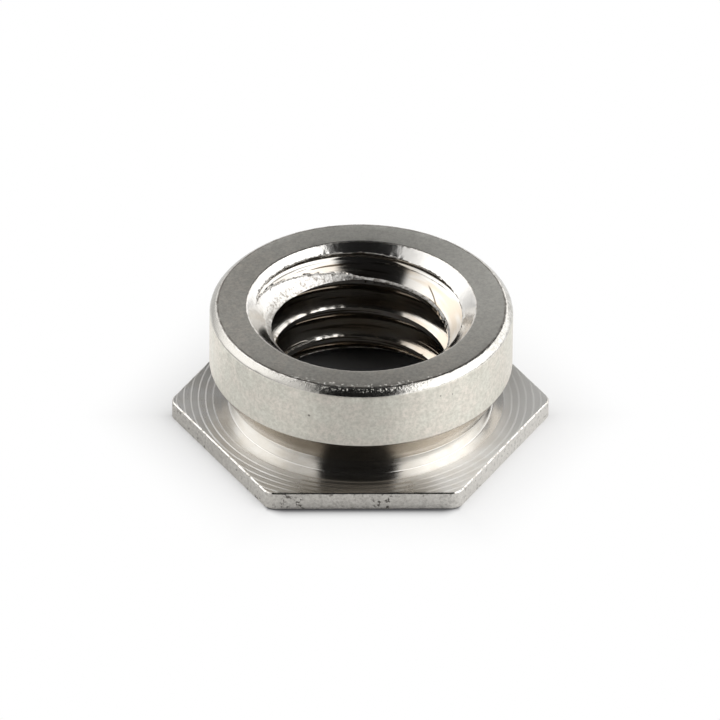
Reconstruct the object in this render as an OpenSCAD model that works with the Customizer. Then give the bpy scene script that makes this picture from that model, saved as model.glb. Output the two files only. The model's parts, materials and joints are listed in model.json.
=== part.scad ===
// Hexagonal flush clinch nut for sheet metal, turned in one piece from stainless hex bar.
// The hex flange lies on z = 0 and the round collar stands up along +Z. Millimetres.

/* [Hex flange] */
// Width of the hexagon across its flats
hex_across_flats = 9.5; // [8.8:0.05:12]
// Radius of the hexagon's corners
hex_corner_r = 0.45; // [0.1:0.05:0.8]
// Thickness of the flange
flange_thickness = 0.56; // [0.3:0.02:1]

/* [Neck and collar] */
// Diameter of the smooth neck above the flange
neck_d = 7.58; // [7:0.02:8.2]
// Height of the straight part of the neck
neck_height = 0.47; // [0.2:0.01:0.8]
// Height of the back-tapered undercut between the neck and the collar
undercut_height = 0.91; // [0.4:0.01:1.5]
// Outer diameter of the collar, just under the hole in the sheet
collar_d = 8.72; // [8.4:0.02:9.2]
// Height of the collar, its chamfer included
collar_height = 1.88; // [1:0.02:4]
// Width of the collar's 45 degree top chamfer
collar_chamfer = 0.19; // [0.05:0.01:0.4]

/* [Threaded bore] */
// Diameter of the bore at the thread's crests, 5 mm for a 6 mm coarse thread
bore_d = 5; // [4:0.02:5.4]
// Diameter of the 90 degree countersink in the collar's face
top_mouth_d = 6.6; // [6:0.01:7]
// Diameter of the 90 degree countersink in the flange's face
bottom_mouth_d = 6.6; // [6:0.01:7]

/* [Hidden] */
// Corners of the hexagon
hex_corners = 6;
// How far the cutters run past the faces they cut
past = 0.5;
$fn = 96;

neck_top = flange_thickness + neck_height;
collar_bottom = neck_top + undercut_height;
total_height = collar_bottom + collar_height;
top_sink_depth = (top_mouth_d - bore_d) / 2;
bottom_sink_depth = (bottom_mouth_d - bore_d) / 2;

// Circle through the centres of the hexagon's corner arcs
corner_centre_r = (hex_across_flats / 2 - hex_corner_r) / cos(180 / hex_corners);

// Where the arcs of the hexagon's corners meet its flats, two points a corner
function corner_tangents() = [
    for (i = [0 : hex_corners - 1], side = [-1, 1])
        let (corner = i * 360 / hex_corners, flat = corner + side * 180 / hex_corners)
        [corner_centre_r * cos(corner) + hex_corner_r * cos(flat),
         corner_centre_r * sin(corner) + hex_corner_r * sin(flat)]
];

// Hexagon with round corners, one corner on +X
module hex_outline() {
    polygon(corner_tangents());
    for (i = [0 : hex_corners - 1])
        rotate(i * 360 / hex_corners)
            translate([corner_centre_r, 0])
                circle(r = hex_corner_r);
}

// Hex flange that is pressed into the sheet
module hex_flange() {
    linear_extrude(flange_thickness) hex_outline();
}

// Half section of the neck, the back taper and the chamfered collar
module shank() {
    rotate_extrude()
        polygon([
            [0, 0],
            [neck_d / 2, 0],
            [neck_d / 2, neck_top],
            [collar_d / 2, collar_bottom],
            [collar_d / 2, total_height - collar_chamfer],
            [collar_d / 2 - collar_chamfer, total_height],
            [0, total_height]
        ]);
}

// Bore at the thread's crests, with a 90 degree countersink at each end
module threaded_bore() {
    translate([0, 0, -past])
        cylinder(d = bore_d, h = total_height + 2 * past);
    translate([0, 0, total_height - top_sink_depth])
        cylinder(d1 = bore_d, d2 = top_mouth_d + 2 * past, h = top_sink_depth + past);
    translate([0, 0, -past])
        cylinder(d1 = bottom_mouth_d + 2 * past, d2 = bore_d, h = bottom_sink_depth + past);
}

module nut_body() {
    color("silver")
        difference() {
            union() {
                hex_flange();
                shank();
            }
            threaded_bore();
        }
}

nut_body();
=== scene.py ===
# %% [markdown]
# # A hexagonal clinch nut in stainless steel
# This lesson dresses one small turned part: a nut of about ten millimetres that is pressed into sheet
# metal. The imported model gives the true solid. It is loaded first, as the frame that everything else is
# measured from.

import json
import math

import bmesh
import bpy
from mathutils import Matrix, Quaternion, Vector, noise


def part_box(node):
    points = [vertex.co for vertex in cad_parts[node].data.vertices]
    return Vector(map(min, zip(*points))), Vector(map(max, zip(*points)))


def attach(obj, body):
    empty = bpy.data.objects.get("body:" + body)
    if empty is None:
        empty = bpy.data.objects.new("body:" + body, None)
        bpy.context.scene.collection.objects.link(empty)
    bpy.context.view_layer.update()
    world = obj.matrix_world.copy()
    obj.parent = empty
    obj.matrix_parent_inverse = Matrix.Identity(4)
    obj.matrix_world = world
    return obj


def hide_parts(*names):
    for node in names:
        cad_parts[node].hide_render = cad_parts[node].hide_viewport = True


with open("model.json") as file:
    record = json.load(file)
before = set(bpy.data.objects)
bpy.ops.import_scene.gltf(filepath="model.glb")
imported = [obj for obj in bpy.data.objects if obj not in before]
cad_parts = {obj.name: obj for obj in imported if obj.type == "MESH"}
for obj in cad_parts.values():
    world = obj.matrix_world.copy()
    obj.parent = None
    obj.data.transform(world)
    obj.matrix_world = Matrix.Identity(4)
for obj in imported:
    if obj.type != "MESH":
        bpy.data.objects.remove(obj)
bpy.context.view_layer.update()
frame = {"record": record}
MM = 0.001

low, high = (Vector(corner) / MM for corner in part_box("nut_body"))
mount_sizes = {mount["name"]: mount["dims"] for mount in frame["record"]["mounts"]}
print("solid, in mm:", [round(side, 3) for side in high - low])

# %% [markdown]
# ## The camera
# A small part is photographed from far away with a long lens, so its parallel edges stay parallel.
# The camera looks down on the nut and hardly turns from a flat of the hexagon. Its target is found from the
# pixel where the nut's axis meets the floor, so the render lands on the same pixels as the photograph.

# %% Place the camera
FRAME_PIXELS = 720
SENSOR = 36.0
PIXELS_PER_MM = 34.72
AXIS_FOOT_PIXEL = (360.3, 415.2)
CAMERA_DISTANCE = 700.0
CAMERA_AZIMUTH = math.radians(-1.3)
CAMERA_ELEVATION = math.radians(34.5)
CAMERA_ROLL = math.radians(0.59)
CLIP_END = 10.0


def place_camera():
    away = Vector((
        math.sin(CAMERA_AZIMUTH) * math.cos(CAMERA_ELEVATION),
        -math.cos(CAMERA_AZIMUTH) * math.cos(CAMERA_ELEVATION),
        math.sin(CAMERA_ELEVATION),
    ))
    turn = (-away).to_track_quat("-Z", "Y") @ Quaternion((0, 0, 1), CAMERA_ROLL)
    right = turn @ Vector((1, 0, 0))
    up = turn @ Vector((0, 1, 0))
    middle = FRAME_PIXELS / 2
    target = right * ((middle - AXIS_FOOT_PIXEL[0]) / PIXELS_PER_MM)
    target += up * ((AXIS_FOOT_PIXEL[1] - middle) / PIXELS_PER_MM)

    data = bpy.data.cameras.new("camera")
    data.sensor_width = SENSOR
    data.lens = PIXELS_PER_MM * SENSOR * CAMERA_DISTANCE / FRAME_PIXELS
    data.clip_end = CLIP_END
    camera = bpy.data.objects.new("camera", data)
    camera.rotation_mode = "QUATERNION"
    camera.rotation_quaternion = turn
    camera.location = (target + away * CAMERA_DISTANCE) * MM
    bpy.context.collection.objects.link(camera)
    bpy.context.scene.camera = camera
    print("camera lens, in mm:", round(data.lens))


place_camera()

# %% [markdown]
# ## The half section
# The nut was turned on a lathe, so its shape is a half section spun about the axis. The section is split
# into zones, because the lathe left a different finish on each: a bright neck, a satin collar and face, and
# polished countersinks. Sizes that the frame knows are taken from it. The work is done in millimetres.

# %% Sizes of the section
HEIGHT = high.z
FLAT_REACH = high.y
CORNER_REACH = high.x
COLLAR_R = mount_sizes["collar"]["r_mm"]
CREST_R = mount_sizes["thread"]["r_mm"]
FLANGE_TOP = 0.56
NECK_R = 3.79
NECK_TOP = 1.03
COLLAR_FOOT = 1.94
CHAMFER = 0.19
MOUTH_R = 3.3
SINK_DEPTH = MOUTH_R - CREST_R
UNDER_LIP = 0.15
CHAMFER_CROWN = 0.006

ZONES = [
    "under", "rim", "edge", "flange", "neck", "undercut",
    "collar", "chamfer", "face", "sink", "crest", "thread", "burr",
]
SUPPORT = 0.05


def stretch(start, end, count):
    """count points from start to end, both included"""
    return [tuple(a + (b - a) * i / (count - 1) for a, b in zip(start, end)) for i in range(count)]


def strip(start, end, rows):
    """points from start to end, one close to each end so that a bevel there doesn't tilt the shading"""
    margin = SUPPORT / math.dist(start, end)
    inner = stretch((margin,), (1 - margin,), rows)
    return [tuple(a + (b - a) * t for a, b in zip(start, end)) for t, in [(0,), *inner, (1,)]]


def crown(points, rise):
    """the same points, pushed outwards and upwards by rise in the middle and less towards the ends"""
    last = len(points) - 1
    push = [rise * 4 * i * (last - i) / last ** 2 for i in range(len(points))]
    return [(r + step / 2 ** 0.5, z + step / 2 ** 0.5) for (r, z), step in zip(points, push)]


core_section = [
    ("neck", strip((NECK_R, FLANGE_TOP), (NECK_R, NECK_TOP), 2)),
    ("undercut", strip((NECK_R, NECK_TOP), (COLLAR_R, COLLAR_FOOT), 3)),
    ("collar", strip((COLLAR_R, COLLAR_FOOT), (COLLAR_R, HEIGHT - CHAMFER), 4)),
    ("chamfer", crown(strip((COLLAR_R, HEIGHT - CHAMFER), (COLLAR_R - CHAMFER, HEIGHT), 5), CHAMFER_CROWN)),
    ("face", strip((COLLAR_R - CHAMFER, HEIGHT), (MOUTH_R, HEIGHT), 4)),
    ("sink", strip((MOUTH_R, HEIGHT), (CREST_R, HEIGHT - SINK_DEPTH), 12)),
    ("crest", [(CREST_R, HEIGHT - SINK_DEPTH), (CREST_R, SINK_DEPTH)]),
    ("sink", strip((CREST_R, SINK_DEPTH), (MOUTH_R, 0), 3)),
    ("under", [(MOUTH_R, 0), (MOUTH_R + UNDER_LIP, 0)]),
]
print("strips in the section:", len(core_section))

# %% Spin the core
AXIS = Vector((0, 0, 1))
CENTRE = Vector((0, 0, 0))
FULL_TURN = 2 * math.pi
STEPS = 360
WELD = 0.0005


def give_zone(faces, zone):
    """mark faces as part of one zone of the nut"""
    for face in faces:
        face.material_index = ZONES.index(zone)


def spin_zone(shell, zone, points, angle=FULL_TURN, steps=STEPS):
    """one zone of the section, spun about the axis"""
    before = set(shell.faces)
    verts = [shell.verts.new((r, 0, z)) for r, z in points]
    edges = [shell.edges.new(pair) for pair in zip(verts, verts[1:])]
    whole = angle == FULL_TURN
    bmesh.ops.spin(
        shell, geom=verts + edges, cent=CENTRE, axis=AXIS, angle=angle, steps=steps, use_merge=whole,
    )
    give_zone([face for face in shell.faces if face not in before], zone)


nut = bmesh.new()
for zone, points in core_section:
    spin_zone(nut, zone, points)
bmesh.ops.remove_doubles(nut, verts=nut.verts, dist=WELD)
bmesh.ops.recalc_face_normals(nut, faces=nut.faces)
print("spun core:", len(nut.faces), "faces")

# %% [markdown]
# ## Broken edges
# No turned edge is a knife edge. A narrow bevel on each ring catches the light as the thin bright or dark
# lines that outline the collar and the chamfers. The widths differ, because each cut left its own burr.

# %% Bevel the turned edges
# Radius, height and width of each broken edge, and its zone where it has one of its own
edge_breaks = [
    (COLLAR_R, COLLAR_FOOT, 0.025, None),
    (COLLAR_R, HEIGHT - CHAMFER, 0.044, None),
    (COLLAR_R - CHAMFER, HEIGHT, 0.032, "edge"),
    (MOUTH_R, HEIGHT, 0.025, "edge"),
    (NECK_R, NECK_TOP, 0.03, None),
    (MOUTH_R, 0, 0.02, "edge"),
]


def ring_edges(shell, r, z):
    """the edges of the ring of that radius and height"""
    def on_ring(vert):
        return abs(vert.co.z - z) < WELD and abs(vert.co.xy.length - r) < WELD
    return [edge for edge in shell.edges if on_ring(edge.verts[0]) and on_ring(edge.verts[1])]


def break_edge(shell, r, z, width, zone=None, segments=2):
    """round off a ring, as a zone of its own if one is named"""
    made = bmesh.ops.bevel(
        shell, geom=ring_edges(shell, r, z), offset=width, offset_type="OFFSET",
        affect="EDGES", segments=segments, profile=0.5, material=-1,
    )
    if zone:
        give_zone(made["faces"], zone)


for r, z, width, zone in edge_breaks:
    break_edge(nut, r, z, width, zone)
print("with broken edges:", len(nut.faces), "faces")

# %% [markdown]
# ## The hexagonal flange
# The bar was hexagonal before it was turned, so the flange's upper face is a round sheet trimmed by planes.
# One sixth of it is enough: a flat with half a corner at each end. The corners follow the bar's small
# radius with a few more planes. The sixth is then copied round the axis.

# %% Trim one sixth of the flange and copy it
FLATS = 6
CORNER_PLANES = 3
RIM_BREAK = 0.03
RIDGE_START = 4.0
COARSE_RINGS = 4
FINE_RINGS_PER_MM = 80
SHEET_MARGIN = 0.1
sixth = FULL_TURN / FLATS
CORNER_ARC_R = (FLAT_REACH - CORNER_REACH * math.cos(sixth / 2)) / (1 - math.cos(sixth / 2))
ARC_CENTRE = CORNER_REACH - CORNER_ARC_R
sheet_edge = CORNER_REACH + SHEET_MARGIN


def shave(shell, point, normal):
    """cut away what lies outside a plane"""
    everything = shell.verts[:] + shell.edges[:] + shell.faces[:]
    bmesh.ops.bisect_plane(
        shell, geom=everything, dist=WELD / 10, plane_co=point, plane_no=normal, clear_outer=True,
    )


flange = bmesh.new()
fine_rings = round((sheet_edge - RIDGE_START) * FINE_RINGS_PER_MM)
sheet_rings = [
    stretch((NECK_R, FLANGE_TOP), (RIDGE_START, FLANGE_TOP), COARSE_RINGS),
    stretch((RIDGE_START, FLANGE_TOP), (sheet_edge, FLANGE_TOP), fine_rings),
]
for points in sheet_rings:
    spin_zone(flange, "flange", points, sixth, STEPS // FLATS)
bmesh.ops.remove_doubles(flange, verts=flange.verts, dist=WELD)
cuts = [(sixth / 2, FLAT_REACH)]
for corner, way in ((0, 1), (sixth, -1)):
    for step in range(CORNER_PLANES):
        lean = sixth / 2 * step / CORNER_PLANES
        cuts.append((corner + way * lean, ARC_CENTRE * math.cos(lean) + CORNER_ARC_R))
for angle, reach in cuts:
    outward = Vector((math.cos(angle), math.sin(angle), 0))
    shave(flange, outward * (reach - RIM_BREAK), outward)
everything = flange.verts[:] + flange.edges[:] + flange.faces[:]
bmesh.ops.spin(
    flange, geom=everything, cent=CENTRE, axis=AXIS,
    angle=FULL_TURN - sixth, steps=FLATS - 1, use_duplicate=True,
)
bmesh.ops.remove_doubles(flange, verts=flange.verts, dist=WELD)
print("flange sheet:", len(flange.faces), "faces")

# %% [markdown]
# ## The rim
# The rim is drawn down from the flange's outline, row by row, with a narrow facet at its upper and lower
# edge. The upper facet shows as one thin line: white along the sides, black along the front. The underside
# is then filled flat, up to the lower countersink.

# %% Join the flange and draw its rim down
RIM_ROWS = 5
NECK_FILLET = 0.025


def open_edges(shell, beyond=0.0):
    """edges with one face only, further from the axis than beyond"""
    def far(edge):
        return min(vert.co.xy.length for vert in edge.verts) > beyond
    return [edge for edge in shell.edges if len(edge.link_faces) == 1 and far(edge)]


def only(kind, items):
    """the items of one kind, such as faces"""
    return [item for item in items if isinstance(item, kind)]


def add_mesh(shell, other):
    """put a copy of another bmesh into this one"""
    mesh = bpy.data.meshes.new("part")
    other.to_mesh(mesh)
    shell.from_mesh(mesh)
    bpy.data.meshes.remove(mesh)


add_mesh(nut, flange)
flange.free()
bmesh.ops.remove_doubles(nut, verts=nut.verts, dist=WELD)
break_edge(nut, NECK_R, FLANGE_TOP, NECK_FILLET, segments=3)

rim_path = [(RIM_BREAK, FLANGE_TOP)]
rim_path += stretch((0, FLANGE_TOP - RIM_BREAK), (0, RIM_BREAK), RIM_ROWS)
rim_path += [(RIM_BREAK, 0)]
outline = open_edges(nut, FLAT_REACH - 2 * RIM_BREAK)
for (inset, z), (next_inset, next_z) in zip(rim_path, rim_path[1:]):
    made = bmesh.ops.extrude_edge_only(nut, edges=outline)["geom"]
    give_zone(only(bmesh.types.BMFace, made), "edge" if z == FLANGE_TOP else "rim")
    corners = only(bmesh.types.BMVert, made)
    grow = (FLAT_REACH - next_inset) / (FLAT_REACH - inset)
    bmesh.ops.scale(nut, vec=(grow, grow, 1), verts=corners)
    bmesh.ops.translate(nut, vec=(0, 0, next_z - z), verts=corners)
    outline = [edge for edge in only(bmesh.types.BMEdge, made) if len(edge.link_faces) == 1]
filled = bmesh.ops.triangle_fill(nut, edges=open_edges(nut), use_beauty=True)["geom"]
give_zone(only(bmesh.types.BMFace, filled), "under")
bmesh.ops.recalc_face_normals(nut, faces=nut.faces)
print("closed blank:", len(nut.faces), "faces,", len(open_edges(nut)), "open edges")

# %% [markdown]
# ## Feed marks on the flange
# The tool that faced the flange moved by about a fifth of a millimetre a turn. Each turn left a shallow
# slope that ends in a steep little step, and together they make one spiral. The steps are real height in
# the mesh, so they still catch the light when the nut is turned or lit another way.

# %% Raise the spiral of feed marks
FEED = 0.21
STEP_AT = 4.375
STEP_HEIGHT = 0.0165
STEP_SHARE = 0.22
MARKS_FULL = 4.35
MARKS_END = 0.05
UNEVEN = 0.4
UNEVEN_WAVES = 3


def rim_gap(place):
    """how far a place on the flange lies inside the nearest flat of the hexagon"""
    flats = [sixth * (flat + 0.5) for flat in range(FLATS)]
    return FLAT_REACH - max(place.x * math.cos(a) + place.y * math.sin(a) for a in flats)


def share(value, start, end):
    """0 at start, 1 at end, straight between them"""
    return min(max((value - start) / (end - start), 0), 1)


def feed_mark(place):
    """height of the feed marks at that place on the flange"""
    r = place.xy.length
    # On the seam y is almost nothing, with a sign that can differ each run, so it is taken as nothing
    angle = math.atan2(place.y if abs(place.y) > WELD else 0.0, place.x)
    turns = (r - STEP_AT) / FEED + angle / FULL_TURN
    along = turns - math.floor(turns)
    rise = share(r, RIDGE_START, MARKS_FULL) * share(rim_gap(place), RIM_BREAK, RIM_BREAK + MARKS_END)
    wave_x = UNEVEN_WAVES * math.cos(angle)
    wave_y = UNEVEN_WAVES * math.sin(angle)
    uneven = 1 + UNEVEN * noise.noise(Vector((wave_x, wave_y, math.floor(turns))))
    slope = min(along / (1 - STEP_SHARE), (1 - along) / STEP_SHARE)
    return STEP_HEIGHT * rise * uneven * (slope - 0.5)


flange_faces = [face for face in nut.faces if face.material_index == ZONES.index("flange")]
flange_verts = {vert for face in flange_faces for vert in face.verts if vert.co.xy.length > RIDGE_START}
for vert in flange_verts:
    vert.co.z += feed_mark(vert.co)
print("flange points with feed marks:", len(flange_verts))

# %% [markdown]
# ## Ragged edges
# Under a lens the edges of the chamfer, the countersink and the rim aren't clean: the tool dragged the steel
# into small burrs. The points beside those edges are moved about a hundredth of a millimetre by even noise.

# %% Roughen the chamfer, countersink and rim edges
# Radius and height of each ragged ring, and how far its points move
ragged_rings = [
    (COLLAR_R - CHAMFER, HEIGHT, 0.012),
    (COLLAR_R, HEIGHT - CHAMFER, 0.006),
    (MOUTH_R, HEIGHT, 0.008),
]
BURR_REACH = 0.045
RIM_BURR = 0.016
RIM_BURR_REACH = 1.5 * RIM_BREAK
RIM_LEVELS = 5
BURRS_PER_MM = 9
OTHER_NOISE = Vector((7, 0, 0))


def drag_burrs(shell, r, z, size):
    """move the points beside one ring"""
    for vert in shell.verts:
        if math.hypot(vert.co.xy.length - r, vert.co.z - z) < BURR_REACH:
            place = vert.co * BURRS_PER_MM
            vert.co.xy *= 1 + size * noise.noise(place) / r
            vert.co.z -= size * abs(noise.noise(place + OTHER_NOISE))


def drag_rim(shell, size):
    """the same for the upper edge of the hexagon's rim"""
    for vert in shell.verts:
        if vert.co.z > FLANGE_TOP - RIM_BURR_REACH and abs(rim_gap(vert.co)) < RIM_BURR_REACH:
            place = vert.co * BURRS_PER_MM
            lower = place + OTHER_NOISE + Vector((0, 0, RIM_LEVELS * place.z))
            vert.co.xy *= 1 - size * abs(noise.noise(place)) / FLAT_REACH
            vert.co.z -= size * abs(noise.noise(lower))


for r, z, size in ragged_rings:
    drag_burrs(nut, r, z, size)
drag_rim(nut, RIM_BURR)
print("ragged rings:", len(ragged_rings), "and the rim")

# %% [markdown]
# ## The thread
# A tap cuts a V groove with a round root that climbs one pitch a turn. The same cutter is made here as a
# long tube: the V's section is spun about the axis while it rises. Its inner edge wavers a little, because a
# tap tears the crests of stainless steel. A Boolean modifier then takes the tube out of the blank,
# countersinks included, so the groove runs out through them as the real one does.

# %% Make the thread cutter
PITCH = 1.0
GROOVE_Z = 1.214
ROOT_R = 3.1
ROOT_FLAT = 0.148
ROOT_ROUNDING = (30, 60)
CUTTER_INNER_R = 2.38
TURNS_BELOW = 2
TURNS = 6
TURN_STEPS = 200
TEAR = 0.03
TEAR_R = 2.56
TORN_ABOVE = 2.7
FLANK_ROWS = 10
FLANK_END_R = 3.02
FLANK = math.tan(math.radians(30))


def looks_up(place):
    """whether a place in a groove lies on its lower flank, which looks up"""
    turns = (place.z - GROOVE_Z) / PITCH - math.atan2(place.y, place.x) / FULL_TURN
    return turns < round(turns)


def groove_section():
    """the closed outline of the V groove, as radius and height above the groove's middle"""
    rows = [CUTTER_INNER_R] + [r for r, in stretch((TEAR_R,), (FLANK_END_R,), FLANK_ROWS)]
    flank = [(r, ROOT_FLAT / 2 + (ROOT_R - r) * FLANK) for r in rows]
    end_half = flank[-1][1]
    for turn in ROOT_ROUNDING:
        lean = math.radians(turn)
        flank.append((FLANK_END_R + (ROOT_R - FLANK_END_R) * math.sin(lean), end_half * math.cos(lean)))
    return [(r, -half) for r, half in flank] + [(ROOT_R, 0)] + flank[::-1]


def thread_cutter():
    """the groove's section, spun into a tube that climbs"""
    shell = bmesh.new()
    foot = GROOVE_Z - TURNS_BELOW * PITCH
    verts = [shell.verts.new((r, 0, foot + z)) for r, z in groove_section()]
    edges = [shell.edges.new(pair) for pair in zip(verts, verts[1:] + verts[:1])]
    bmesh.ops.spin(
        shell, geom=verts + edges, cent=CENTRE, axis=AXIS, angle=TURNS * FULL_TURN,
        dvec=(0, 0, PITCH / TURN_STEPS), steps=TURNS * TURN_STEPS,
    )
    bmesh.ops.edgeloop_fill(shell, edges=open_edges(shell))
    bmesh.ops.recalc_face_normals(shell, faces=shell.faces)
    for vert in shell.verts:
        if vert.co.xy.length < CUTTER_INNER_R + WELD:
            vert.co.z += TEAR * noise.noise(vert.co * BURRS_PER_MM)
    for face in shell.faces:
        centre = face.calc_center_median()
        torn = looks_up(centre) and centre.z > TORN_ABOVE and centre.xy.length < TEAR_R
        face.material_index = ZONES.index("burr" if torn else "thread")
    return shell


cutter = thread_cutter()
print("thread cutter:", len(cutter.faces), "faces,", len(open_edges(cutter)), "open edges")

# %% Cut the thread
finishes = {zone: bpy.data.materials.new("steel_" + zone) for zone in ZONES}


def as_object(shell, name):
    """a bmesh as a scene object with a slot for each zone's finish"""
    mesh = bpy.data.meshes.new(name)
    shell.to_mesh(mesh)
    shell.free()
    for zone in ZONES:
        mesh.materials.append(finishes[zone])
    made = bpy.data.objects.new(name, mesh)
    bpy.context.collection.objects.link(made)
    return made


def cut_away(body, tool):
    """the mesh of the body with the tool's volume taken out"""
    cut = body.modifiers.new("cut", "BOOLEAN")
    cut.operation = "DIFFERENCE"
    cut.solver = "EXACT"
    cut.object = tool
    graph = bpy.context.evaluated_depsgraph_get()
    mesh = bpy.data.meshes.new_from_object(body.evaluated_get(graph))
    for done in (body, tool):
        bpy.data.objects.remove(done)
    return mesh


nut_mesh = cut_away(as_object(nut, "blank"), as_object(cutter, "cutter"))
print("threaded nut:", len(nut_mesh.polygons), "faces")

# %% [markdown]
# ## Torn thread edges
# The tap leaves a rolled, torn lip where its groove meets the countersinks and the uppermost crest. Those
# edges get a narrow bevel, and noise then pulls the new points about, so that the lip breaks up into bright
# specks. One place at the right is torn further than the rest.

# %% Roll and tear the thread's edges
LIP = 0.03
SHORTEST = 0.008
TORN = 0.02
RAISED = 0.03
CREST_TORN = 0.006
TEARS_PER_MM = 13
BIG_TEAR = Vector((2.4, 0.75, 2.88))
BIG_TEAR_REACH = 0.5
BIG_TORN = 0.07
TEAR_SEED = 3


def is_lip(edge):
    """whether an edge between the groove and what it cuts lies where the tap tore the steel"""
    zones = {ZONES[face.material_index] for face in edge.link_faces}
    middle = (edge.verts[0].co + edge.verts[1].co) / 2
    on_sinks = not SINK_DEPTH < middle.z < HEIGHT - SINK_DEPTH
    torn = on_sinks or looks_up(middle) and middle.z > TORN_ABOVE
    return torn and bool(zones & {"thread", "burr"}) and bool(zones & {"sink", "crest"})


def tear_lips(mesh):
    """bevel the lips and pull their points about"""
    # Noise vectors start from the clock unless they get a seed, and each run has to give the same nut
    noise.seed_set(TEAR_SEED)
    shell = bmesh.new()
    shell.from_mesh(mesh)
    # Very short edges would hold the bevel back, so they are merged first, in the same order each run
    corners = list(dict.fromkeys(vert for edge in shell.edges if is_lip(edge) for vert in edge.verts))
    bmesh.ops.remove_doubles(shell, verts=corners, dist=SHORTEST)
    lips = [edge for edge in shell.edges if is_lip(edge)]
    made = bmesh.ops.bevel(
        shell, geom=lips, offset=LIP, offset_type="OFFSET", affect="EDGES",
        segments=3, profile=0.5, material=-1, clamp_overlap=False,
    )
    give_zone(made["faces"], "burr")
    for vert in made["verts"]:
        place = vert.co * TEARS_PER_MM
        on_sink = vert.co.z > HEIGHT - SINK_DEPTH
        size = TORN if on_sink else CREST_TORN
        size += BIG_TORN * share((vert.co - BIG_TEAR).length, BIG_TEAR_REACH, 0)
        vert.co += size * noise.noise_vector(place)
        if on_sink:
            vert.co.z += RAISED * max(noise.noise(place / 2), 0)
    shell.to_mesh(mesh)
    shell.free()
    print("torn lips:", len(lips), "edges,", len(made["faces"]), "faces")


tear_lips(nut_mesh)

# %% Put the nut in the scene
SHARP_FROM = math.radians(35)

nut_mesh.transform(Matrix.Scale(MM, 4))
nut_mesh.polygons.foreach_set("use_smooth", [True] * len(nut_mesh.polygons))
nut_mesh.set_sharp_from_angle(angle=SHARP_FROM)
clinch_nut = bpy.data.objects.new("clinch_nut", nut_mesh)
bpy.context.collection.objects.link(clinch_nut)
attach(clinch_nut, "root")
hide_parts("nut_body")
nut_mesh.calc_loop_triangles()
print("nut:", len(nut_mesh.loop_triangles), "triangles")

# %% [markdown]
# ## Writing shader maths
# Finishes are sums and products of patterns. This small class wraps one socket of a node tree, so that
# those sums can be written as ordinary Python: each operator adds the Math node that does it.

# %% A socket that takes Python operators
class Wire:
    def __init__(self, tree, socket=None):
        self.tree = tree
        self.socket = socket

    def node(self, kind, settings=None, inputs=None, output=0):
        """add any node: its settings first, then values or links for its inputs"""
        made = self.tree.nodes.new("ShaderNode" + kind)
        for name, value in (settings or {}).items():
            setattr(made, name, value)
        for name, value in (inputs or {}).items():
            if isinstance(value, Wire):
                self.tree.links.new(value.socket, made.inputs[name])
            else:
                made.inputs[name].default_value = value
        return Wire(self.tree, made.outputs[output] if made.outputs else None)

    def math(self, operation, *values):
        return self.node("Math", {"operation": operation}, dict(enumerate(values)))

    def __add__(self, other):
        return self.math("ADD", self, other)

    def __sub__(self, other):
        return self.math("SUBTRACT", self, other)

    def __rsub__(self, other):
        return self.math("SUBTRACT", other, self)

    def __mul__(self, other):
        return self.math("MULTIPLY", self, other)

    def __truediv__(self, other):
        return self.math("DIVIDE", self, other)

    def __pow__(self, other):
        return self.math("POWER", self, other)

    def __abs__(self):
        return self.math("ABSOLUTE", self)

    __radd__ = __add__
    __rmul__ = __mul__

    def larger(self, other):
        return self.math("MAXIMUM", self, other)

    def ramp(self, start, end):
        """0 before start, 1 after end, with a soft slope between them"""
        settings = {"interpolation_type": "SMOOTHSTEP"}
        return self.node("MapRange", settings, {0: self, 1: start, 2: end})

    def blend(self, first, second):
        """a colour that goes from first to second as this value goes from 0 to 1"""
        return self.node("Mix", {"data_type": "RGBA"}, {0: self, 6: first, 7: second}, output=2)


print("shader helper ready")

# %% [markdown]
# ## Steel finishes
# All the finishes are the same bare steel. They differ in how smooth the tool left the surface, in the
# direction of its grain, and in small marks. Some also carry painted light and shade: sides painted lighter
# or darker, a painted dark reflection, painted shade in the thread's roots and painted glints. Patterns are
# read in millimetres from the object's own coordinates, with the radius and the angle worked out from them,
# because turned marks run round the axis.

# %% Helpers for the finishes
STEEL = (0.64, 0.615, 0.575, 1)
ACROSS_LINES = 0.25
LINES_PER_MM = 24.0
# Most values of a noise lie between these two
SPREAD = (0.3, 0.7)


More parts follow.
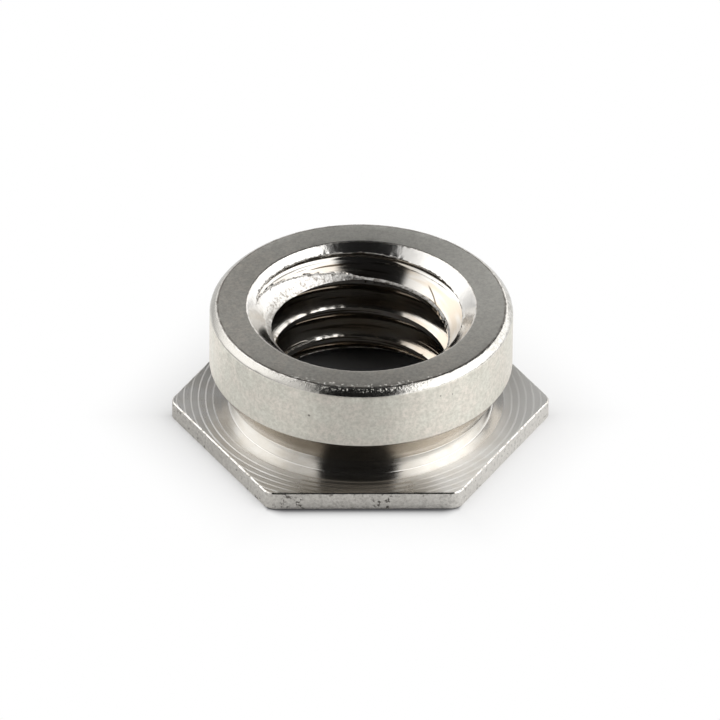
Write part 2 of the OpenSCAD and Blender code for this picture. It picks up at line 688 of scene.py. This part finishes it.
class Surface:
    """the places on the nut that a finish reads, in millimetres"""

    def __init__(self, zone):
        material = finishes[zone]
        material.use_nodes = True
        material.node_tree.nodes.clear()
        self.start = Wire(material.node_tree)
        metres = self.start.node("TexCoord", output="Object")
        self.place = self.start.node("VectorMath", {"operation": "SCALE"}, {0: metres, "Scale": 1 / MM})
        sides = [self.start.node("SeparateXYZ", {}, {0: self.place}, axis) for axis in range(3)]
        self.x, self.y, self.z = sides
        self.radius = (self.x * self.x + self.y * self.y) ** 0.5
        self.angle = self.start.math("ARCTAN2", self.y, self.x)

    def grain(self, scale, detail=2.0, roughness=0.5, place=None):
        """even noise with so many grains a millimetre"""
        inputs = {"Vector": place or self.place, "Scale": scale, "Detail": detail, "Roughness": roughness}
        return self.start.node("TexNoise", {}, inputs)

    def turned(self, scale, along=1.5, detail=3.0, climb=0.0):
        """noise drawn out into lines that run round the axis and climb so many millimetres a turn"""
        level = self.z - self.angle * (climb / FULL_TURN)
        parts = {0: self.radius * scale, 1: level * scale, 2: self.angle * along}
        return self.grain(1.0, detail, place=self.start.node("CombineXYZ", {}, parts))

    def away_from(self, point):
        """the distance from a point"""
        ends = {0: self.place, 1: point}
        return self.start.node("VectorMath", {"operation": "DISTANCE"}, ends, "Value")

    def bump(self, height, depth):
        """a surface normal for marks that are depth millimetres deep"""
        return self.start.node("Bump", {}, {"Strength": 1.0, "Distance": depth * MM, "Height": height})

    def steel(self, colour, roughness, normal, drawn_out=0.0):
        """bare steel; drawn_out spreads its reflections across the turned lines"""
        inputs = {"Base Color": colour, "Metallic": 1.0, "Roughness": roughness, "Normal": normal}
        inputs.update({"Anisotropic": drawn_out, "Anisotropic Rotation": ACROSS_LINES})
        shader = self.start.node("BsdfPrincipled", {}, inputs)
        self.start.node("OutputMaterial", {}, {"Surface": shader})


print("surface helper ready")

# %% Satin collar
# Place and size of each pit on the front of the collar
COLLAR_PITS = [
    ((-1.56, -4.07, 2.81), 0.045),
    ((2.21, -3.76, 3.26), 0.03),
    ((2.55, -3.53, 3.17), 0.03),
]
COLLAR_GREY = (0.74, 0.73, 0.655, 1)
COLLAR_WARM = (0.78, 0.725, 0.655, 1)
COLLAR_DULL = (0.57, 0.55, 0.485, 1)
COLLAR_PIT = (0.2, 0.18, 0.16, 1)


def satin_collar():
    surface = Surface("collar")
    mottle = surface.grain(1.6, detail=4.0, roughness=0.6)
    fine = surface.grain(9.0, detail=4.0, roughness=0.8)
    speck = 0.0
    for pit, size in COLLAR_PITS:
        speck = speck + surface.away_from(pit).ramp(size, size / 2)
    light = mottle.ramp(0.35, 0.65).blend(COLLAR_GREY, COLLAR_WARM)
    tone = fine.ramp(*SPREAD).blend(COLLAR_DULL, light)
    colour = speck.blend(tone, COLLAR_PIT)
    normal = surface.bump(fine, depth=0.004)
    surface.steel(colour, 0.34 + 0.12 * mottle, normal, drawn_out=0.85)


satin_collar()
print("satin finish: collar")

# %% Satin face
FACE_GREY = (0.67, 0.655, 0.60, 1)
FACE_WARM = (0.72, 0.675, 0.605, 1)
FACE_PAINTED_LIGHT = (0.8, 0.785, 0.725, 1)
FACE_DULL = (0.5, 0.48, 0.44, 1)
FACE_PAINTED_LIGHT_DULL = (0.63, 0.615, 0.57, 1)
FACE_EDGE_DARK = (0.13, 0.1, 0.075, 1)
FACE_PAINTED_GLINT = (0.95, 0.93, 0.88, 1)


def satin_face():
    """lighter towards the back right as painted light, darker along its outer edge, and with burr specks
    along its front painted bright as glints
    """
    surface = Surface("face")
    mottle = surface.grain(3.0, detail=4.0, roughness=0.6)
    fine = surface.grain(9.0, detail=4.0, roughness=0.8)
    # Painted light: the face is lighter towards the back right
    painted_light_back_right = (surface.x + surface.y).ramp(-2.0, 4.5)
    light = mottle.ramp(*SPREAD).blend(FACE_GREY, FACE_WARM)
    light = painted_light_back_right.blend(light, FACE_PAINTED_LIGHT)
    dull = painted_light_back_right.blend(FACE_DULL, FACE_PAINTED_LIGHT_DULL)
    tone = fine.ramp(*SPREAD).blend(dull, light)
    # Darker along the outer edge of the face
    outer_edge_dark = surface.radius.ramp(4.09, 4.13) * mottle.ramp(0.3, 0.55)
    front_edge = surface.radius.ramp(3.94, 4.04) * surface.y.ramp(-3.2, -3.8)
    # Burr specks along the front: bumped, and painted bright in the colour as glints
    specks = front_edge * surface.grain(12.0, detail=1.0).ramp(0.6, 0.66)
    colour = specks.blend((0.7 * outer_edge_dark).blend(tone, FACE_EDGE_DARK), FACE_PAINTED_GLINT)
    normal = surface.bump(0.4 * specks + 0.03 * fine, depth=0.03)
    surface.steel(colour, 0.27 + 0.08 * mottle, normal, drawn_out=0.65)


satin_face()
print("satin finish: face")

# %% Bright turned faces
NECK_TINT = (0.665, 0.655, 0.632, 1)


def bright(zone, smooth, rough, depth, tint=STEEL, drawn_out=0.0):
    surface = Surface(zone)
    lines = surface.turned(LINES_PER_MM)
    patch = surface.grain(2.0)
    colour = patch.ramp(*SPREAD).blend(tint, STEEL)
    roughness = smooth + (rough - smooth) * lines
    surface.steel(colour, roughness, surface.bump(lines, depth), drawn_out)


bright("neck", smooth=0.08, rough=0.16, depth=0.0006, tint=NECK_TINT)
bright("under", smooth=0.2, rough=0.3, depth=0.001, drawn_out=0.6)
print("bright finishes: neck, underside")

# %% Worn edges
WORN = (0.36, 0.34, 0.31, 1)


def worn_edge():
    surface = Surface("edge")
    wear = surface.grain(5.0, detail=4.0, roughness=0.7)
    colour = wear.ramp(0.5, 0.66).blend(STEEL, WORN)
    surface.steel(colour, 0.1 + 0.25 * wear, surface.bump(wear, depth=0.005))


worn_edge()
print("worn finish: edges")

# %% Undercut
UNDERCUT_SHADED_LEFT = (0.38, 0.34, 0.285, 1)
UNDERCUT_LIT_RIGHT = (0.60, 0.56, 0.50, 1)
UNDERCUT_LINE = (0.44, 0.40, 0.345, 1)


def dull_undercut():
    surface = Surface("undercut")
    lines = surface.turned(LINES_PER_MM)
    # Painted light: the undercut is darker on the left and lighter towards the right
    tone = surface.x.ramp(-3.0, 3.0).blend(UNDERCUT_SHADED_LEFT, UNDERCUT_LIT_RIGHT)
    colour = lines.ramp(*SPREAD).blend(tone, UNDERCUT_LINE)
    surface.steel(colour, 0.12 + 0.1 * lines, surface.bump(lines, depth=0.0008))


dull_undercut()
print("brown finish: undercut")

# %% Faced flange
FLANGE_DULL = (0.62, 0.6, 0.565, 1)
FLANGE_BRIGHT = (0.66, 0.65, 0.628, 1)
FLANGE_PAINTED_DARK_FRONT = (0.2, 0.18, 0.155, 1)
FLANGE_PAINTED_LIGHT_RIGHT = (0.76, 0.75, 0.725, 1)


def faced_flange():
    """smooth beside the neck, rougher where the feed marks are, with a painted dark reflection in front and
    painted light at the right
    """
    surface = Surface("flange")
    lines = surface.turned(LINES_PER_MM)
    marked = surface.radius.ramp(RIDGE_START, MARKS_FULL)
    to_right = surface.x.ramp(-4.6, 4.6)
    front = surface.y.ramp(-3.6, -4.3) * abs(surface.x).ramp(2.6, 1.2)
    roughness = 0.13 + 0.08 * lines + marked * (0.12 + 0.24 * to_right) * (1 - 0.7 * front)
    tone = surface.grain(2.0).ramp(*SPREAD).blend(FLANGE_DULL, FLANGE_BRIGHT)
    # Painted dark reflection: the flange is darker in front
    tone = (0.5 * front).blend(tone, FLANGE_PAINTED_DARK_FRONT)
    # Painted light: the flange is lighter at the right corner
    colour = surface.x.ramp(3.4, 4.8).blend(tone, FLANGE_PAINTED_LIGHT_RIGHT)
    surface.steel(colour, roughness, surface.bump(lines, depth=0.0006), drawn_out=0.95)


faced_flange()
print("faced finish: flange")

# %% Tapped thread
BROWN_TINT = (0.57, 0.5, 0.415, 1)
SCORES_AND_ROOT_SHADE = (0.14, 0.11, 0.08, 1)
CRACK_R = 2.615
CRACK_ANGLE = 0.607
CRACK_SLANT = 1.15
CRACK_ABOVE = (2.6, 2.7)


def crack_in(surface):
    """one short crack that slants across the right side of the uppermost groove"""
    angle = surface.angle
    beside = abs(surface.radius - (CRACK_R + CRACK_SLANT * (angle - CRACK_ANGLE)))
    crack = beside.ramp(0.028, 0.01) * angle.ramp(0.45, 0.5) * angle.ramp(0.82, 0.76)
    return crack * surface.z.ramp(*CRACK_ABOVE)


def tapped(zone):
    """polished by the tap along the thread, with a brown tint, dark scores, one crack and painted shade in
    the roots
    """
    surface = Surface(zone)
    lines = surface.turned(22.0, along=2.0, climb=PITCH)
    scores = surface.turned(11.0, along=1.2, detail=2.0, climb=PITCH).ramp(0.61, 0.67)
    # A brown tint along the thread, stronger towards the right
    brown_tint = surface.turned(3.0, along=1.5, detail=2.0, climb=PITCH).ramp(0.58, 0.36)
    brown_tint = brown_tint * (0.4 + 0.6 * surface.x.ramp(-2.6, 2.0))
    tone = brown_tint.blend(STEEL, BROWN_TINT)
    # Painted shade: the thread's roots are darkened, except near the top
    root = surface.radius.ramp(2.98, 3.04) * surface.z.ramp(3.05, 2.85)
    marks = scores.larger(crack_in(surface)).larger(0.9 * root)
    colour = marks.blend(tone, SCORES_AND_ROOT_SHADE)
    surface.steel(colour, 0.05 + 0.09 * lines, surface.bump(lines - marks, depth=0.0012))


tapped("thread")
tapped("crest")
print("tapped finishes: thread, crest")

# %% Polished chamfer
CHAMFER_SHADED_LEFT = (0.47, 0.455, 0.425, 1)
CHAMFER_LIT_RIGHT = (0.7, 0.685, 0.65, 1)
CHAMFER_DULL = (0.45, 0.435, 0.4, 1)


def polished_chamfer():
    """uneven from chatter, most of all in front, with specks near its upper edge, and painted lighter to the
    right
    """
    surface = Surface("chamfer")
    chatter = surface.grain(6.0, detail=4.0, roughness=0.7)
    specks = surface.grain(16.0, detail=1.0).ramp(0.54, 0.68) * surface.radius.ramp(4.31, 4.2)
    front = 0.3 + 0.7 * surface.y.ramp(-3.4, -4.0)
    # Painted light: the chamfer is darker on the left and lighter towards the right
    tone = surface.x.ramp(-1.0, 1.5).blend(CHAMFER_SHADED_LEFT, CHAMFER_LIT_RIGHT)
    colour = chatter.ramp(*SPREAD).blend(CHAMFER_DULL, tone)
    normal = surface.bump(front * (chatter + specks), depth=0.008)
    surface.steel(colour, 0.1 + 0.16 * chatter, normal)


polished_chamfer()
print("polished finish: chamfer")

# %% Countersinks and torn lips
SINK_BRIGHT = (0.62, 0.605, 0.58, 1)
TORN_DARK = (0.24, 0.22, 0.195, 1)
TORN_EDGE = 0.06
RAW_ABOVE = (2.1, 2.6)


def torn_sink(zone, torn_from, raw):
    """polished outside the radius torn_from, torn by the tap inside it, and raw by so much near the top"""
    surface = Surface(zone)
    chatter = surface.grain(7.0, detail=3.0, roughness=0.6)
    tears = surface.grain(11.0, detail=3.0, roughness=0.7)
    ragged = surface.radius + 0.3 * (chatter - 0.5)
    torn = ragged.ramp(torn_from + TORN_EDGE, torn_from - TORN_EDGE)
    colour = (torn * tears.ramp(0.58, 0.34)).blend(SINK_BRIGHT, TORN_DARK)
    roughness = 0.1 + 0.1 * chatter + torn * (0.1 + 0.2 * tears) + raw * surface.z.ramp(*RAW_ABOVE)
    surface.steel(colour, roughness, surface.bump(0.25 * chatter + torn * tears, depth=0.016))


torn_sink("sink", torn_from=2.74, raw=0.0)
torn_sink("burr", torn_from=4.0, raw=0.35)
print("torn finishes: sink, burr")

# %% Grainy drawn sides
RIM_DARK = (0.44, 0.42, 0.39, 1)
RIM_LIGHT = (0.67, 0.65, 0.61, 1)
LIT_RIGHT_RIM_DARK = (0.6, 0.58, 0.545, 1)
LIT_RIGHT_RIM_LIGHT = (0.74, 0.72, 0.685, 1)
RIM_PIT = (0.16, 0.15, 0.135, 1)


def drawn_sides():
    """grainy, with dark pits in clusters, and painted paler, with fewer pits, towards the right"""
    surface = Surface("rim")
    fine = surface.grain(13.0, detail=4.0, roughness=0.75)
    # Painted light: the rim is paler towards the right, and its pits thin out there
    to_right = surface.x.ramp(0.5, 4.0)
    cluster = surface.grain(1.6, detail=1.0).ramp(0.45, 0.62) * (1 - 0.7 * to_right)
    pits = surface.grain(8.5, detail=2.0).ramp(0.56, 0.64) * (0.2 + 0.8 * cluster)
    dark = to_right.blend(RIM_DARK, LIT_RIGHT_RIM_DARK)
    light = to_right.blend(RIM_LIGHT, LIT_RIGHT_RIM_LIGHT)
    tone = fine.ramp(0.25, 0.75).blend(dark, light)
    colour = pits.blend(tone, RIM_PIT)
    surface.steel(colour, 0.34 + 0.3 * fine, surface.bump(fine - pits, depth=0.016))


drawn_sides()
print("drawn finish: rim")

# %% [markdown]
# ## Light, floor and background
# Polished metal looks like the room around it. A small part is shot between two large soft boxes on a white
# table: a brighter one on the right, a plainer one on the left, each with a brighter middle, and a dark gap
# over the camera where they don't meet. The gap draws the black band down the front of the neck and the
# chamfers.

# %% The soft boxes as a world
# Directions: the planes that bound the boxes, and the middles of what is brighter or dark
LEFT_EDGE = (0.875, -0.373, 0.308)
LEFT_FOOT = (0.838, -0.527, 0.144)
RIGHT_EDGE = (0.906, 0.356, -0.283)
LEFT_MIDDLE = (-0.79, 0.23, 0.57)
RIGHT_MIDDLE = (0.816, -0.105, 0.567)
OVERHEAD = (0.12, 0.6, 0.79)
# Brightness of each part of the room
LEFT_BOX = 1.1
RIGHT_BOX = 1.72
MIDDLE_GAIN = 1.04
GAP = 0.01
BACK_WALL = 0.352
HORIZON = 0.8
HORIZON_TO_RIGHT = 0.12
# Where each part fades in, from its first value to its second
EDGE_SOFT = 0.045
MIDDLE_FADE = (0.8, 1)
OVERHEAD_FADE = (0.92, 0.86)
WALL_BEHIND = (0.25, 0.6)
WALL_SIDES = (0.42, 0.15)
WALL_TOP = (0.76, 0.66)
WALL_DARKENS = (0.1, 0.5)
NO_HORIZON_AHEAD = (0.6, 0.9)
HORIZON_FADE = (0.16, 0.04)


def light_the_room():
    world = bpy.data.worlds.new("light_tent")
    world.use_nodes = True
    world.node_tree.nodes.clear()
    bpy.context.scene.world = world
    start = Wire(world.node_tree)
    ray = start.node("TexCoord", output="Generated")

    def along(direction):
        return start.node("VectorMath", {"operation": "DOT_PRODUCT"}, {0: ray, 1: direction}, "Value")

    left = along(LEFT_EDGE).ramp(EDGE_SOFT, -EDGE_SOFT) * along(LEFT_FOOT).ramp(EDGE_SOFT, -EDGE_SOFT)
    left = left * (LEFT_BOX + MIDDLE_GAIN * along(LEFT_MIDDLE).ramp(*MIDDLE_FADE))
    right = along(RIGHT_EDGE).ramp(-EDGE_SOFT, EDGE_SOFT)
    right = right * (RIGHT_BOX + MIDDLE_GAIN * along(RIGHT_MIDDLE).ramp(*MIDDLE_FADE))
    boxes = GAP + left.larger(right) * along(OVERHEAD).ramp(*OVERHEAD_FADE)
    height = along((0, 0, 1))
    across = along((1, 0, 0))
    behind = along((0, 1, 0)).ramp(*WALL_BEHIND) * abs(across).ramp(*WALL_SIDES) * height.ramp(*WALL_TOP)
    wall = HORIZON + (BACK_WALL - HORIZON) * height.ramp(*WALL_DARKENS)
    room = boxes + behind * (wall - boxes)
    near_floor = height.ramp(*HORIZON_FADE) * (1 - along((0, -1, 0)).ramp(*NO_HORIZON_AHEAD))
    room = room + near_floor * (HORIZON + HORIZON_TO_RIGHT * across - room)
    seen = start.node("LightPath", output="Is Camera Ray")
    background = start.node("Background", {}, {"Color": room + seen * (1 - room)})
    start.node("OutputWorld", {}, {"Surface": background})


light_the_room()
bpy.context.scene.view_settings.view_transform = "Standard"
print("light tent ready")

# %% [markdown]
# ## The table
# The nut stands on white paper. Far from it the paper is lit to plain white for the camera, and to nearly
# that for reflections. Towards the nut that light fades and the paper's own colour is painted darker, so the
# soft shadow is partly painted. In reflections the paper is painted brighter to the right and dimmer to the
# left. Inside the bore the paper is painted dark as shade.

# %% Helpers for the paper
PAPER = (0.9, 0.9, 0.9, 1)
FOOT_SHADE = (0.22, 0.22, 0.23, 1)
BORE_SHADE = (0.18, 0.18, 0.18, 1)
# How bright the paper is in reflections: painted light, brighter to the right and dimmer to the left
FRONT_PAPER = 0.9
RIGHT_PAPER = 1.05
LEFT_DIP = 0.12
BACK_LIFT = 2.6
SHADOW_START = 0.11
SHADOW_START_AHEAD = 0.17
SHADOW_FADE = 0.25
SHADOW_FADE_AHEAD = 0.1
FAR_SHADOW = 0.28
FAR_SHADOW_FADE = (0.2, 2.4)
UNDER_RIM = (-0.3, 0.0)
BORE_FADE = (-1.2, -0.4)
AHEAD_Y = (-3.5, -4.7)
AHEAD_X = (3.0, 2.2)


def outside_hexagon(start, place):
    """how far a place on the table lies outside the hexagon, in millimetres"""
    beside = []
    for flat in range(FLATS // 2):
        angle = sixth * (flat + 0.5)
        outward = {0: place, 1: (math.cos(angle) / MM, math.sin(angle) / MM, 0)}
        beside.append(abs(start.node("VectorMath", {"operation": "DOT_PRODUCT"}, outward, "Value")))
    return beside[0].larger(beside[1]).larger(beside[2]) - FLAT_REACH


def paper_colour(gap, ahead):
    """painted shade: dark in the bore and along the foot of the rim, and wider so in front"""
    beside_nut = (gap + 0.15 * (1 - ahead)).ramp(-0.05, 0.15 + 0.4 * ahead)
    return gap.ramp(*BORE_FADE).blend(BORE_SHADE, beside_nut.blend(FOOT_SHADE, PAPER))


def mirrored_paper(x, y):
    """how bright the paper looks in reflections, painted brighter to the right and dimmer to the left"""
    across = x / (x * x + y * y) ** 0.5
    back_left = across.ramp(-0.5, -0.85) * y.ramp(0.0, 3.0)
    dip = across.ramp(-0.7, -0.97) - BACK_LIFT * back_left
    return FRONT_PAPER + (RIGHT_PAPER - FRONT_PAPER) * across.ramp(0.1, 0.9) - LEFT_DIP * dip


def clear_of_shadow(gap, ahead):
    """0 under the nut and 1 far from it; the painted shadow starts further out and is tighter in front"""
    beyond = (gap + SHADOW_START - SHADOW_START_AHEAD * ahead).larger(0.0)
    shadow = gap.math("EXPONENT", -1 * beyond / (SHADOW_FADE - SHADOW_FADE_AHEAD * ahead))
    outer = 1 - FAR_SHADOW + FAR_SHADOW * gap.ramp(*FAR_SHADOW_FADE)
    return gap.ramp(*UNDER_RIM) * (1 - shadow) * outer


print("paper helpers ready")

# %% Lay the table
TABLE_R = 900.0
TABLE_DROP = 0.01
TABLE_SEGMENTS = 96


def white_paper():
    """paper that is lit to white for the camera and for reflections, outside the shadow"""
    material = bpy.data.materials.new("white_table")
    material.use_nodes = True
    material.node_tree.nodes.clear()
    start = Wire(material.node_tree)
    place = start.node("TexCoord", output="Object")
    gap = outside_hexagon(start, place)
    x, y = [start.node("SeparateXYZ", {}, {0: place}, axis) / MM for axis in range(2)]
    ahead = y.ramp(*AHEAD_Y) * abs(x).ramp(*AHEAD_X)
    camera = start.node("LightPath", output="Is Camera Ray")
    glossy = start.node("LightPath", output="Is Glossy Ray")
    mirrored = mirrored_paper(x, y)
    paper = start.node("BsdfDiffuse", {}, {"Color": paper_colour(gap, ahead)})
    white = start.node("Emission", {}, {"Color": mirrored + camera * (1 - mirrored)})
    lit = camera.larger(glossy) * clear_of_shadow(gap, ahead)
    surface = start.node("MixShader", {}, {0: lit, 1: paper, 2: white})
    start.node("OutputMaterial", {}, {"Surface": surface})
    return material


def lay_table():
    shell = bmesh.new()
    bmesh.ops.create_circle(shell, cap_ends=True, radius=TABLE_R * MM, segments=TABLE_SEGMENTS)
    bmesh.ops.translate(shell, vec=(0, 0, -TABLE_DROP * MM), verts=shell.verts)
    mesh = bpy.data.meshes.new("table")
    shell.to_mesh(mesh)
    shell.free()
    mesh.materials.append(white_paper())
    table = bpy.data.objects.new("table", mesh)
    bpy.context.collection.objects.link(table)


lay_table()
print("table ready")
